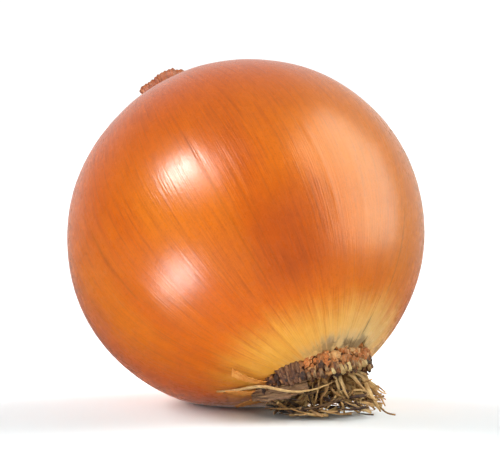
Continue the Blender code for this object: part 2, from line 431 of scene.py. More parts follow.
def add_light(kind, name, direction, distance, power):
    """A light that shines at the onion's middle from a direction."""
    direction = Vector(direction).normalized()
    bpy.ops.object.light_add(type=kind, location=MIDDLE + direction * distance)
    light = bpy.context.object
    light.name = name
    light.rotation_euler = direction.to_track_quat("Z", "Y").to_euler()
    light.data.energy = power
    light.visible_camera = False
    return light


def gloss_box(name, direction, width, height, brightness, distance=0.9):
    """A soft box that only the gloss sees, as bright as a white wall times brightness."""
    light = add_light("AREA", name, direction, distance, brightness * math.pi * width * height)
    light.data.shape = "RECTANGLE"
    light.data.size, light.data.size_y = width, height
    light.visible_diffuse = False
    return light


def lit_only(name, state):
    """A set of things that a light falls on: the floor alone, or everything but the floor."""
    things = bpy.data.collections.new(name)
    things.objects.link(floor)
    things.collection_objects[0].light_linking.link_state = state
    return things


FLOOR_ONLY = lit_only("floor_only", "INCLUDE")
ALL_BUT_FLOOR = lit_only("all_but_floor", "EXCLUDE")


def soft_sun(name, direction, spread, power, falls_on):
    """Even light from one side of the room, left out of the gloss."""
    light = add_light("SUN", name, direction, 1.0, power)
    light.data.angle = math.radians(spread)
    light.visible_glossy = False
    light.light_linking.receiver_collection = falls_on


gloss_box("upper_left_box", (-0.612, -0.473, 0.633), 0.20, 0.20, 105)
gloss_box("upper_left_glow", (-0.47, -0.60, 0.66), 0.46, 0.40, 14)
gloss_box("lower_left_box", (-0.612, -0.697, -0.39), 0.30, 0.28, 42)
window = gloss_box("right_window", (0.894, -0.094, 0.438), 0.95, 1.2, 9.5)
window.data.color = (0.92, 1.0, 0.80)
soft_sun("front_left_sun", (-0.35, -0.65, 0.66), 22, 1.62, ALL_BUT_FLOOR)
soft_sun("front_right_sun", (0.45, -0.80, 0.25), 22, 0.62, ALL_BUT_FLOOR)
soft_sun("top_sun", (0.1, 0.2, 1.0), 60, 0.8, ALL_BUT_FLOOR)
soft_sun("left_table_sun", (-0.85, 0.42, 0.40), 44, 5.7, FLOOR_ONLY)
soft_sun("right_table_sun", (0.85, 0.42, 0.40), 44, 5.8, FLOOR_ONLY)

# %% [markdown]
# ## The bulb
#
# The bulb is a solid of revolution that its own weight has pressed flat underneath, with low ridges and
# creases that run from root to neck, where the scales below show through the dry skin. Round the root plate
# the skin has torn away. A wrapped grid suits it, because its lines run from pole to pole as the veins do.
# Its rings are packed close near the root, and each vertex is put where the rule says.

# %% Skin shape
# round, width, from, to (degrees), height in mm: ridges are positive and creases negative
RIDGES = (
    (-14.0, 0.9, 52, 96, 0.085),
    (-2.0, 1.0, 48, 92, 0.06),
    (6.0, 1.2, 40, 80, 0.03),
    (23.0, 0.7, 28, 66, -0.07),
    (-41.6, 0.9, 38, 98, -0.035),
    (-48.5, 1.0, 38, 108, -0.045),
    (-92.5, 1.2, 60, 106, -0.06),
    (-88.0, 2.0, 60, 106, 0.04),
    (-112.0, 1.2, 70, 100, -0.03),
    (70.0, 1.0, 40, 110, 0.06),
    (104.0, 0.9, 50, 130, -0.06),
    (139.0, 1.2, 35, 100, 0.05),
    (168.0, 0.9, 60, 120, -0.05),
    (-158.0, 1.1, 45, 125, 0.05),
)


def bulb_radius(angle):
    mean = (WIDEST_RADIUS + HALF_LENGTH) / 2
    return mean - (WIDEST_RADIUS - HALF_LENGTH) / 2 * np.cos(2 * angle)


def skin_relief(angle, around):
    """Height of the skin over the smooth bulb, by its angles from and round the root end in degrees."""
    side = np.sin(np.radians(angle))
    turn = np.radians(around)
    lift = 0.10 * np.cos(4 * turn + 0.8) + 0.06 * np.cos(9 * turn + 2.0 + 0.01 * angle)
    lift = (lift + 0.035 * np.cos(17 * turn + 1.0)) * side
    for middle, width, start, end, height in RIDGES:
        sway = 1.2 * np.sin(np.radians(angle * 2.1 + middle))
        gap = wrapped(around - middle - sway)
        faded = ramp(angle, start, start + 12) * (1 - ramp(angle, end - 14, end))
        lift = lift + height * hump(gap, 0, width) * faded
    return lift * MM


def pressed(height):
    """Height of a point after the bulb's weight has pressed it onto the surface below."""
    soft = (np.clip(height, -PRESS_SOFTNESS, PRESS_SOFTNESS) + PRESS_SOFTNESS) ** 2 / (4 * PRESS_SOFTNESS)
    return np.where(height >= PRESS_SOFTNESS, height, soft)


def skin(angle, around, lift=0.0):
    """World places over the skin, by the angles from and round the root end, in degrees."""
    angle, around = np.asarray(angle, float), np.asarray(around, float)
    distance = bulb_radius(np.radians(angle)) + SWELL + skin_relief(angle, around) + lift
    out = distance * np.sin(np.radians(angle))
    height = -distance * np.cos(np.radians(angle))
    shoulder = SHOULDER_HEIGHT * np.exp(-((out / SHOULDER_WIDTH) ** 2))
    nose = NOSE_HEIGHT * np.exp(-((out / NOSE_WIDTH) ** 2))
    height = np.minimum(np.where(height > 0, height + shoulder, height - nose), NECK_SEAT_HEIGHT + lift)
    local = turned(out, np.radians(around), height)
    return moved(local.reshape(-1, 3), BULB_FRAME).reshape(local.shape)


# %% [markdown]
# The torn edge is given as a distance from the middle of the root plate. It is wider at the left, where the
# crown has crumbled outwards, and narrow at the upper right, where the skin comes furthest down. Small tears
# make it ragged, and one deep tear runs up into the skin.

# %% Torn edge
EDGE_WALL = 0.45 * MM
CRATER_DEPTH = 1.9 * MM
SEAT_HEIGHT, SEAT_REACH, SEAT_FADE = 1.9 * MM, 12.2 * MM, 1.2 * MM
WELL_BELOW = 20 * MM
# place round the plate and half width in degrees, depth in mm, sharpness: the deep one comes first
TEARS = ((31, 7.5, 2.8, 1.3), (-14, 3, 1.0, 1), (-48, 2.5, 0.8, 1))


def smooth_edge(around):
    """Distance of the torn skin from the plate's axis, round the plate in degrees."""
    gap = wrapped(around + 100)
    lobe = 5.6 * hump(gap, 0, np.where(gap < 0, 24, 45))
    return (10.6 + lobe - 1.7 * hump(around, 22, 30) - 0.5 * hump(around, 75, 25)) * MM


def edge_radius(around):
    """The same edge with its rags and tears."""
    turn = np.radians(around)
    ragged = 0.22 * np.sin(11 * turn + 1) + 0.18 * np.sin(27 * turn + 2) + 0.16 * np.sin(58 * turn)
    ragged = ragged + 0.14 * np.abs(np.sin(83 * turn + 0.5)) * (1 + np.sin(7 * turn))
    for middle, width, depth, sharpness in TEARS:
        ragged = ragged + depth * np.clip(1 - np.abs(around - middle) / width, 0, 1) ** sharpness
    return smooth_edge(around) + ragged * MM


def sink_crater(points):
    """Moves the points inside the torn edge down into the bulb, where the root plate sits."""
    local = moved(points, PLATE_FRAME.inverted())
    distance = np.hypot(local[:, 0], local[:, 1])
    around = np.degrees(np.arctan2(local[:, 1], local[:, 0]))
    near = (local[:, 2] < 9 * MM) & (distance < 20 * MM)
    inside = ramp(edge_radius(around) - distance, 0, EDGE_WALL) * near
    on_seat = ramp(SEAT_REACH - distance, 0, SEAT_FADE)
    seat = SEAT_HEIGHT * on_seat - WELL_BELOW * (1 - on_seat)
    sunk = np.maximum(local[:, 2] + CRATER_DEPTH, seat)
    local[:, 2] += (sunk - local[:, 2]) * inside
    return moved(local, PLATE_FRAME), inside


# %% Bulb mesh
BULB_SEGMENTS, BULB_RINGS = 640, 150


def bulb_rule(around, ring):
    # a twentieth of the rings lie under the plate, and two fifths on the ragged skin round it
    angle = np.interp(ring, (0, 0.05, 0.47, 1), (0, 9.5, 28, 180))
    places, inside = sink_crater(skin(angle, around))
    places[:, 2] = np.maximum(pressed(places[:, 2]), 0)
    return places, {"inside": inside}


bulb = wrapped_grid(BULB_SEGMENTS, BULB_RINGS, bulb_rule)
print("bulb is", np.round(np.ptp(points_of(bulb.data), axis=0) * 1000, 1), "mm")

# %% [markdown]
# ## The skin's finish
#
# The dry outer skin is copper orange and satin, with veins from pole to pole. It pales to straw and gold at
# the root, and darkens to rust in patches where the skin is doubled. A band down the middle that faces the
# camera is partly rust and partly painted shade between the soft boxes. All of it follows the two angles, so
# the material works them out from the Object coordinates, turned into the bulb's own frame. Noise is read on a
# circle, cosine and sine of the angle round, so that it has no seam.

# %% Onion skin
DEGREES_PER_RADIAN = 57.3
ORANGE = tint(226, 112, 10)
DEEP_ORANGE = tint(214, 92, 6)
BRIGHT_ORANGE = tint(236, 128, 26)
RUST_AND_SHADE = tint(180, 62, 0)
GOLD = tint(240, 168, 66)
STRAW = tint(240, 200, 130)
PAPER_SHEEN = 0.08

onion = Finish("papery_skin")
place = onion.object_place(BULB_FRAME)
x, y, z = onion.parts(place)
out = (x * x + y * y) ** 0.5
theta = out.degrees_from(-z)  # from the root end
phi = y.degrees_from(x)  # round it
cosine, sine = x / out, y / out


def meridian(pitch, length):
    """Coordinates for streaks about `pitch` degrees wide and `length` degrees long."""
    turns = DEGREES_PER_RADIAN / pitch
    return onion.vector(cosine * turns, sine * turns, theta * (1 / length))


wander = (onion.noise(meridian(24, 30), 1.0, 1.0) - 0.5) * 4
broad = onion.noise(meridian(26, 60), 1.0, 2.0)
middling = onion.noise(meridian(5, 40), 1.0, 2.0)
fine = onion.noise(meridian(1.0, 22), 1.0, 2.0, 0.6)
finest = onion.noise(meridian(0.42, 9), 1.0, 1.0)
leather = onion.noise(place, 1500, 2.0, 0.6)
mottle = onion.noise(place, 260, 3.0, 0.6)
patchy = onion.noise(place, 45, 3.0, 0.55)

onion.colour = ORANGE
onion.lay(broad.step(0.35, 0.68), DEEP_ORANGE)
onion.lay(patchy.step(0.50, 0.72) * 0.30, tint(206, 88, 4))
onion.lay(middling.step(0.50, 0.75) * 0.25, BRIGHT_ORANGE)
root_ring = theta.hump(46, 10) * 0.6
onion.lay(root_ring.at_least(theta.step(88, 112) * 0.7), DEEP_ORANGE)
onion.lay(theta.step(98, 135) * 0.6, tint(204, 76, 0))
# partly rust and partly painted shade: a darker band down the middle that faces the camera, between the soft
# boxes
rust_and_shade_band = phi.hump(-34, 21) * (theta + wander * 1.2).between(33, 80, 18)
right_gold = phi.hump(28, 34) * theta.between(20, 130, 30) * 0.6
onion.lay(right_gold, tint(222, 128, 34))
rust_patches = broad.step(0.60, 0.80) * theta.between(30, 120, 30) * 0.4
onion.lay((rust_and_shade_band * 0.9).at_least(rust_patches), RUST_AND_SHADE)

ragged_theta = theta + (middling - 0.5) * 10 + (fine - 0.5) * 8
left_reach = phi.hump(-80, 40) * 4
gold_zone = 1 - (ragged_theta - left_reach).step(20, 39)
onion.lay(gold_zone, GOLD)
onion.lay(gold_zone * middling.step(0.45, 0.7) * 0.3, tint(224, 136, 44))
straw_zone = (1 - (ragged_theta + (fine - 0.5) * 8).step(15, 36)) * phi.hump(28, 50)
straw_edge = 1 - ragged_theta.step(12, 20)
onion.lay((straw_zone * 0.9).at_least(straw_edge * 0.6), STRAW)

# single lines: place round, width, from, to, how much they darken
for middle, width, start, end, darkening in (
    (-92.5, 0.5, 63, 104, 0.315),
    (-112, 0.5, 72, 98, 0.175),
    (-48.5, 0.4, 40, 106, 0.245),
    (-41.6, 0.35, 40, 96, 0.245),
    (-20.4, 0.3, 50, 80, 0.245),
    (23, 0.45, 29, 64, 0.42),
    (-61, 0.3, 46, 80, 0.14),
    (-72, 0.3, 40, 70, 0.14),
    (118, 0.4, 50, 110, 0.28),
    (-170, 0.4, 55, 115, 0.28),
):
    line = (phi + wander * 0.35).hump(middle, width) * theta.between(start, end, 10)
    onion.lay(line * darkening, tint(110, 40, 8))

streaks = fine.step(0.45, 0.75) * 0.26 + finest.step(0.45, 0.75) * 0.16
onion.lay(streaks, tint(150, 60, 10), "MULTIPLY")
onion.lay(PAPER_SHEEN, tint(255, 170, 70), "SCREEN")
leather_dots = ((leather - 0.5) * 0.8).magnitude() * (1 - gold_zone * 0.7)
onion.lay(leather_dots, tint(150, 70, 15), "MULTIPLY")
onion.lay(mottle.step(0.55, 0.8) * 0.12, tint(180, 80, 15), "MULTIPLY")
smudge = phi.hump(-27, 6) * theta.hump(18.5, 1.6) * mottle.step(0.40, 0.62)
onion.lay(smudge * 0.7, tint(120, 98, 100))
pale_rim = (1 - ragged_theta.step(17, 22)) * phi.hump(-2, 50)
onion.lay(pale_rim * 0.55, tint(206, 182, 138))
# darker in patches along the torn skin next to the crown, on the crown's upper side
crown_edge_dark = (1 - (ragged_theta + (mottle - 0.5) * 12).step(16, 20)) * phi.hump(0, 50) * mottle.step(0.40, 0.56)
onion.lay(crown_edge_dark * 0.8, tint(84, 56, 34))
tear_stain = (phi + wander * 0.3).hump(17.5, 1.1) * theta.between(16, 27, 5)
onion.lay(tear_stain * 0.7, tint(78, 48, 20))
# painted shade: the sunken skin inside the torn edge, in the gap round the crown, is painted dark brown
onion.lay(onion.attribute("inside"), tint(60, 34, 20))
roughness = 0.25 + (mottle - 0.5) * 0.10 + fine * 0.05
onion.coat(onion.colour, roughness, 0.2, fine * 0.045 + finest * 0.024 + leather * 0.026 + middling * 0.03)
finish_piece(bulb, "bulb_skin", onion.material, ["bulb"])


# %% [markdown]
# ## The root crown
#
# Where roots have grown and died back, year on year, the root plate is a crumbly brown cork. It starts as a
# wrapped grid shaped to a button whose outline follows the torn skin, then every vertex is pushed in or out
# by two sizes of noise. The push is stored in the mesh, so that the material can darken the hollows as painted
# shade.

# %% Crown shape
CROWN_SEGMENTS, CROWN_RINGS = 200, 72
CROWN_GAP = 0.25 * MM
FACE_HEIGHT, BACK_HEIGHT = -3.6 * MM, 1.5 * MM
FACE_SHARE, FLANK_SHARE = 0.46, 0.40  # the rest is the hidden back


def skin_level(around):
    """Height of the torn skin in the plate's frame, round the plate in degrees."""
    low_left = 0.9 * hump(wrapped(around + 70), 0, 45)
    return (-1.7 + 3.7 * np.cos(np.radians(around) - 0.49) + low_left) * MM


def crown_point(around, share, push=0.0):
    """A place on the crown in the plate's frame. Share 0 is the middle of its face, and 1 the hidden back."""
    turn = np.radians(around)
    proud = (2.6 + 2.9 * np.cos(turn + 0.09) - 1.0 * hump(around, -93, 25)) * MM
    face = skin_level(around) - np.maximum(proud, 0.5 * MM)
    flat = np.clip(share / FACE_SHARE, 0, 1)
    on_face = share < FACE_SHARE
    rim = smooth_edge(around) - CROWN_GAP
    radius = rim * np.where(on_face, flat, 1 - 0.10 * ramp(share, 0.8, 1))
    dome = FACE_HEIGHT * (1 - flat**2) + face * flat**2
    up_flank = np.clip((share - FACE_SHARE) / FLANK_SHARE, 0, 1)
    side = face + (skin_level(around) + 0.9 * MM - face) * up_flank
    height = np.where(on_face, dome, side)
    back = ramp(share, FACE_SHARE + FLANK_SHARE, 1.0)
    radius = radius * (1 - back)
    height = height * (1 - back) + BACK_HEIGHT * back
    outward = ramp(share, 0.38, 0.50)
    radius = radius + push * outward
    height = height - push * (1 - outward)
    return turned(radius, turn, height)


def crown_rule(around, share):
    smooth = crown_point(around, share)
    lumps = np.array([noise.noise(Vector(p) / (1.7 * MM)) for p in smooth])
    grains = np.array([noise.noise(Vector(p) / (0.6 * MM) + Vector((9, 4, 2))) for p in smooth])
    push = (0.55 * lumps + 0.35 * grains) * MM * (1 - ramp(share, 0.8, 0.95)) * ramp(share, 0, 0.05)
    hollow = np.clip(0.5 + (lumps + grains) * 0.6, 0, 1)
    return moved(crown_point(around, share, push), PLATE_FRAME), {"hollow": hollow}


crown = wrapped_grid(CROWN_SEGMENTS, CROWN_RINGS, crown_rule)

# %% [markdown]
# The hollows of the cork are painted dark as shade, and its lumps paler. The stored push picks the brown, and
# a fine noise breaks it up.

# %% Crown finish
cork = Finish("crumbly_cork")
hollow = cork.attribute("hollow")
grit = cork.noise(cork.object_place(), 1400, 3.0, 0.6)
# painted shade: the darkest browns go to the hollows and the palest to the lumps
browns = ((0.2, 30, 14, 6), (0.45, 84, 44, 20), (0.65, 150, 96, 52), (0.9, 206, 150, 90))
cork.coat(cork.ramp(hollow * 0.75 + grit * 0.3, browns), 0.85, 0.25, grit * 0.25)
finish_piece(crown, "root_crown", cork.material, ["root_plate"])

# %% [markdown]
# ## Crumbs on the crown
#
# The crown is edged with knuckles of cork, orange at the top and darker below. Four rough crumbs are modelled
# from an ico sphere by randomising its vertices, and each is copied many times along rows round the flank.
# A number stored with each copy gives it its own colour.

# %% Crumb masters
random.seed(11)


def make_crumb(seed):
    crumb = added(bpy.ops.mesh.primitive_ico_sphere_add, subdivisions=2, radius=1)
    with editing():
        bpy.ops.transform.vertex_random(offset=0.32, uniform=0.6, normal=0.4, seed=seed)
    return crumb


crumb_masters = [make_crumb(seed) for seed in (1, 2, 3, 4)]


def scattered(masters, placings):
    """Copies of the masters, each with its own mesh, joined into one piece. A placing is (matrix, shade)."""
    copies = []
    for number, (matrix, shade) in enumerate(placings):
        master = masters[number % len(masters)]
        item = master.copy()
        item.data = master.data.copy()
        set_points(item.data, moved(points_of(item.data), matrix))
        mark(item.data, "shade", np.full(len(item.data.vertices), shade))
        bpy.context.collection.objects.link(item)
        copies.append(item)
    return joined(copies)


def crown_place(around, share, outward, size, stretch=1.0):
    """Matrix that stands a small shape on the crown, its own Z pointing down the flank."""
    spot = crown_point(np.float64(around), np.float64(share), outward)
    turn = Matrix.Rotation(math.radians(around + random.uniform(-25, 25)), 4, "Z")
    tip = Matrix.Rotation(random.uniform(-0.5, 0.5), 4, "X")
    tip = tip @ Matrix.Rotation(random.uniform(-0.5, 0.5), 4, "Y")
    scale = Matrix.Diagonal((size * 0.8, size, size * stretch, 1))
    return PLATE_FRAME @ Matrix.Translation(Vector(spot)) @ turn @ tip @ scale


# %% Crumb rows
# place between face and back, degrees apart, size in mm, darkest and palest shade
CRUMB_ROWS = (
    (0.78, 4.8, 0.55, 0.5, 1.0),
    (0.71, 5.0, 0.62, 0.55, 1.0),
    (0.64, 5.4, 0.60, 0.3, 0.95),
    (0.57, 5.8, 0.58, 0.1, 0.7),
    (0.50, 6.2, 0.56, 0.0, 0.5),
    (0.44, 6.5, 0.56, 0.0, 0.4),
    (0.36, 9.0, 0.60, 0.0, 0.3),
    (0.26, 14.0, 0.60, 0.0, 0.3),
)


def crumb_shade(around, low, high):
    """Orange knuckles on the upper flank, and dark ones at the left where the crown has weathered."""
    weathered = min(float(ramp(-around, 42, 62) + ramp(around, 75, 110)), 1)
    fresh = random.uniform(low, high) * (1 - 0.75 * weathered)
    return fresh + random.choice((0, 0, 0, 0.3)) * weathered


placings = []
for row_share, spacing, size, darkest, palest in CRUMB_ROWS:
    around = -180.0
    while around < 180:
        around += spacing * random.uniform(0.6, 1.4)
        share_here = row_share + random.uniform(-0.03, 0.03)
        size_here = size * MM * random.uniform(0.55, 1.35)
        matrix = crown_place(around, share_here, 0.05 * MM, size_here, random.uniform(0.8, 1.8))
        placings.append((matrix, crumb_shade(around, darkest, palest)))
crumbs = scattered(crumb_masters, placings)
print("crumbs", len(placings))

# %% Crumb finish
crumb_paint = Finish("cork_crumb")
shade = crumb_paint.attribute("shade")
grit = crumb_paint.noise(crumb_paint.object_place(), 1600, 3.0, 0.6)
browns = ((0, 46, 22, 10), (0.3, 110, 64, 30), (0.55, 176, 112, 58), (0.75, 198, 112, 46), (1, 222, 174, 112))
crumb_paint.coat(crumb_paint.ramp(shade + (grit - 0.5) * 0.7, browns), 0.8, 0.3, grit * 0.2)
finish_piece(crumbs, "crown_crumbs", crumb_paint.material)
crumbs.data.shade_flat()

# %% [markdown]
# ## Cut root ends
#
# Some roots were cut short when the onion was cleaned, and their pale ends stand in a row under the crumbs
# like teeth. One stub is a roughened cylinder with its cut end sunk, and each copy gets a length, a thickness
# and a lean of its own.

# %% Stubs
STUBS_FROM, STUBS_TO = -56.0, 44  # degrees round the plate

stub_master = added(bpy.ops.mesh.primitive_cylinder_add, vertices=10, radius=1, depth=2)
with editing():
    bpy.ops.mesh.select_mode(type="FACE")
    bpy.ops.mesh.select_all(action="DESELECT")
for face in stub_master.data.polygons:
    face.select = face.normal.z < -0.9
bpy.ops.object.mode_set(mode="EDIT")
bpy.ops.mesh.inset(thickness=0.28, depth=-0.25)
bpy.ops.mesh.select_all(action="SELECT")
bpy.ops.mesh.subdivide(number_cuts=1)
bpy.ops.transform.vertex_random(offset=0.12, uniform=0.5, normal=0.5, seed=5)
bpy.ops.object.mode_set(mode="OBJECT")

placings = []
around = STUBS_FROM
while around < STUBS_TO:
    around += random.uniform(4.5, 8.0)
    long = random.uniform(0.6, 1.15) * MM
    wide = random.uniform(0.36, 0.60) * MM
    spot = crown_point(np.float64(around), np.float64(random.uniform(0.50, 0.56)), 0.15 * MM)
    turn = Matrix.Rotation(math.radians(around), 4, "Z")
    turn = turn @ Matrix.Rotation(random.uniform(-0.45, -0.05), 4, "Y")
    lean = Matrix.Rotation(random.uniform(-0.3, 0.3), 4, "X")
    drop = Matrix.Translation(Vector(spot)) @ turn @ lean @ Matrix.Translation((0, 0, -long * 0.6))
    matrix = PLATE_FRAME @ drop @ Matrix.Diagonal((wide, wide * 0.9, long, 1))
    placings.append((matrix, random.uniform(0.2, 0.9)))
stubs = scattered([stub_master], placings)

stub_paint = Finish("pale_root_end")
shade = stub_paint.attribute("shade")
grit = stub_paint.noise(stub_paint.object_place(scale=(1, 1, 3)), 1500, 2.0, 0.6)
creams = ((0.0, 80, 52, 30), (0.35, 150, 108, 64), (0.7, 208, 172, 108), (1.0, 232, 206, 146))
stub_paint.coat(stub_paint.ramp(shade + (grit - 0.5) * 0.8, creams), 0.7, 0.3, grit * 0.15)
stub_nodes = [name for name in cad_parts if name.startswith("root_stub")]
finish_piece(stubs, "cut_root_ends", stub_paint.material, stub_nodes)
for master in (*crumb_masters, stub_master):
    bpy.data.objects.remove(master, do_unlink=True)

# %% [markdown]
# ## The roots
#
# A dried root is a flat, twisted straw: wide where it leaves the plate, drawn out to a thread, and bent over
# by the table. Each is a path curve with a flattened section, turned along its length, and then made a mesh.
# The first sixteen follow the part's own roots. The rest fill the nest between them.

# %% Root section
ROOT_STEPS = 16
FLATNESS = 0.45
NEST_WIDE, NEST_DEEP = 12 * MM, 7.5 * MM
LOWEST_ROOT = 0.65 * MM

section = added(bpy.ops.curve.primitive_bezier_circle_add, radius=1)
section.name = "root_section"
section.data.resolution_u = 2
for point in section.data.splines[0].bezier_points:
    for part in ("co", "handle_left", "handle_right"):
        spot = getattr(point, part)
        setattr(point, part, (spot.x, spot.y * FLATNESS, 0))


def root_curve(paths, name):
    """One mesh from paths of (places, radii, twist)."""
    item = added(bpy.ops.curve.primitive_nurbs_path_add)
    data = item.data
    data.splines.clear()
    data.dimensions = "3D"
    for places, radii, twist in paths:
        spline = data.splines.new("POLY")
        spline.points.add(len(places) - 1)
        for number, (point, spot, radius) in enumerate(zip(spline.points, places, radii)):
            point.co = (*spot, 1)
            point.radius = radius
            point.tilt = twist[0] + twist[1] * number / len(places)
    data.bevel_mode = "OBJECT"
    data.bevel_object = section
    data.use_fill_caps = True
    item.name = name
    bpy.ops.object.transform_apply(location=True, rotation=True, scale=True)
    bpy.ops.object.convert(target="MESH")
    weld_and_face_out()
    return bpy.context.object


def root_path(heading, start_radius, start_around, end_height, spread, bow, wiggle, seed, leave=1.0):
    """A root that leaves the plate square to its face and bends over towards its heading."""
    rng = random.Random(seed)
    out = (PLATE_FRAME.to_3x3() @ Vector((0, 0, -1))).normalized()
    level = Vector((math.cos(heading), math.sin(heading), 0))
    across, along = start_radius * math.cos(start_around), start_radius * math.sin(start_around)
    start = PLATE_FRAME @ Vector((across, along, -PLATE_HEIGHT))
    face = PLATE_CENTRE + out * PLATE_HEIGHT
    end = face + Vector((level.x * NEST_WIDE, level.y * NEST_DEEP, 0)) * spread
    end.z = end_height
    bend = start + out * 2.0 * MM * leave + level * 3.0 * MM
    side = Vector((0, 0, 1)).cross(level)
    waves = [(rng.uniform(0, 6.28), rng.uniform(0, 6.28), rng.uniform(1.2, 3.4)) for _ in range(2)]
    places = []
    for step in range(ROOT_STEPS):
        t = step / (ROOT_STEPS - 1)
        spot = start * (1 - t) ** 2 + bend * 2 * t * (1 - t) + end * t**2
        spot += side * bow * math.sin(math.pi * 1.5 * t) * t
        for first, second, rate in waves:
            grow = min(t * 3, 1) * wiggle
            spot += side * grow * math.sin(rate * 3 * t + first)
            spot += Vector((0, 0, grow * 0.6 * math.sin(rate * 3.7 * t + second)))
        spot.z = max(spot.z, LOWEST_ROOT)
        places.append(spot)
    return places


def root_radii(thick, tip=0.45, foot=1.15):
    shares = [(step / (ROOT_STEPS - 1)) ** 1.2 for step in range(ROOT_STEPS)]
    return [thick * (foot - (foot - tip) * share) for share in shares]


def drawn_path(corners):
    """A smooth path through listed corners, in millimetres."""
    corners = np.array(corners, float)
    run = np.linspace(0, 1, len(corners))
    fine_run = np.linspace(0, 1, ROOT_STEPS)
    path = np.stack([np.interp(fine_run, run, corners[:, axis]) for axis in range(3)], -1)
    for _ in range(2):
        path[1:-1] = (path[:-2] + 2 * path[1:-1] + path[2:]) / 4
    return [Vector(spot) * MM for spot in path]


# %% Root finish
straw = Finish("root_straw")
shade = straw.attribute("shade")
grain = straw.noise(straw.object_place(), 900, 3.0, 0.65)
grit = straw.noise(straw.object_place(), 3000, 2.0, 0.6)
tans = ((0.0, 58, 34, 18), (0.3, 128, 90, 48), (0.6, 188, 142, 84), (1.0, 230, 192, 130))
straw.coat(straw.ramp(shade + (grain - 0.5) * 0.8, tans), 0.65, 0.2, grain * 0.10 + grit * 0.05)

# %% Part's own roots
LOW_ROOTS, LOW_RADIUS = 7, 3.4 * MM
HIGH_ROOTS, HIGH_RADIUS = 9, 6.6 * MM
OWN_BOW, OWN_WIGGLE = 0.4 * MM, 0.25 * MM

draw = random.Random(5)
settings = []
for number in range(LOW_ROOTS):
    heading = math.radians(-176 + 26 * number)
    spread = 0.95 + 0.08 * math.cos(2.1 * number)
    settings.append((heading, LOW_RADIUS, heading - PLATE_HEADING, 0.8 * MM, spread))
for number in range(HIGH_ROOTS):
    heading = math.radians(-164 + 23 * number)
    spread = 1.04 + 0.1 * math.cos(1.3 * number + 0.4)
    settings.append((heading, HIGH_RADIUS, heading - PLATE_HEADING, (2.2 + 0.42 * number) * MM, spread))
for number, setting in enumerate(settings, start=1):
    places = root_path(*setting, OWN_BOW * math.sin(1.9 * number), OWN_WIGGLE, number)
    twist = (draw.uniform(0, 3), draw.uniform(-3, 3))
    item = root_curve([(places, root_radii(0.5 * MM), twist)], f"root_{number:02d}")
    mark(item.data, "shade", np.full(len(item.data.vertices), draw.uniform(0.45, 0.85)))
    finish_piece(item, f"dried_root_{number:02d}", straw.material, [f"root_{number:02d}"])

# %% Nest roots
NEST_ROOTS, TANGLE_ROOTS = 104, 110
FANS = ((-195, -120), (-150, 10), (-60, 25))  # degrees that the roots of the nest head for
NEST_SEED = 100
paths, shades = [], []


def add_root(places, radii, twist, shade):
    paths.append((places, radii, twist))
    shades.append(shade)


for number in range(NEST_ROOTS):
    heading = math.radians(draw.choice([draw.uniform(*fan) for fan in FANS]))
    start_radius = draw.uniform(-4.5, 7.0) * MM
    start_around = heading - PLATE_HEADING + draw.uniform(-0.7, 0.7)
    low = (0.5 + 5.0 * draw.random() ** 1.5) * MM
    spread, bow, wiggle = draw.uniform(0.6, 1.15), draw.uniform(-0.9, 0.9) * MM, draw.uniform(0.35, 0.8) * MM
    course = (heading, start_radius, start_around, low, spread, bow, wiggle, NEST_SEED + number)
    places = root_path(*course, draw.uniform(0.3, 1.2))
    thick = draw.choice((0.26, 0.36, 0.46, 0.54, 0.6)) * MM
    twist = (draw.uniform(0, 3), draw.uniform(-3, 3))
    add_root(places, root_radii(thick, 0.55), twist, draw.uniform(0.25, 1.0))


def random_vector(*limits):
    return Vector([draw.uniform(-limit, limit) for limit in limits])


# a low tangle across the middle, in millimetres: real roots, mostly given dark shades as painted shade deep in
# the nest
TANGLE_LOW, TANGLE_TALL = 0.7, 5.2
for number in range(TANGLE_ROOTS):
    middle = [draw.uniform(7, 25), draw.uniform(-27.5, -17)]
    middle.append(TANGLE_LOW + TANGLE_TALL * draw.random())
    along = random_vector(1, 0.5, 0.35).normalized()
    half = draw.uniform(2.0, 4.5)
    sway = random_vector(1, 1, 0.6)
    corners = [Vector(middle) + along * half * step + sway * (1 - step**2) for step in (-1, -0.5, 0, 0.5, 1)]
    corners = [(spot.x, spot.y, max(spot.z, TANGLE_LOW)) for spot in corners]
    thick = draw.choice((0.2, 0.28, 0.36)) * MM
    twist = (draw.uniform(0, 3), draw.uniform(-3, 3))
    # most get the darkest shades: painted shade inside the nest
    add_root(drawn_path(corners), root_radii(thick, 0.6), twist, draw.choice((0.0, 0.0, 0.15, 0.5, 0.8)))

# three that stand out: a long strand over the old scale, a thread on the table, and a tip at the right
strand = [
    skin(35.3, -122.1, 0.6 * MM) / MM,
    skin(28.1, -116.5, 0.9 * MM) / MM,
    *((3.2, -27.8, 7.6), (7.4, -29.6, 6.3), (11, -29.6, 5.9)),
    *((15, -28.8, 6.4), (18.3, -27.0, 7.8), (19.8, -24.6, 8.4)),
]
swell = [0.35 + 0.9 * math.sin(math.pi * (0.1 + 0.8 * step / (ROOT_STEPS - 1))) for step in range(ROOT_STEPS)]
add_root(drawn_path(strand), [0.34 * MM * share for share in swell], (1.2, 2.5), 0.8)
thread = [(22, -19, 7), (25, -20, 5.2), (27, -21.6, 3.6)]
thread += [(28.9, -22.8, 1.8), (30.4, -23.6, 0.6), (32.2, -24, 0.4)]
add_root(drawn_path(thread), [0.22 * MM] * ROOT_STEPS, (0, 1), 0.22)
tip = [(20, -22, 7.5), (23, -22.5, 6.6), (25, -22.5, 7.0), (27.2, -22.5, 7.9)]
add_root(drawn_path(tip), [0.2 * MM] * ROOT_STEPS, (0, 1), 0.4)

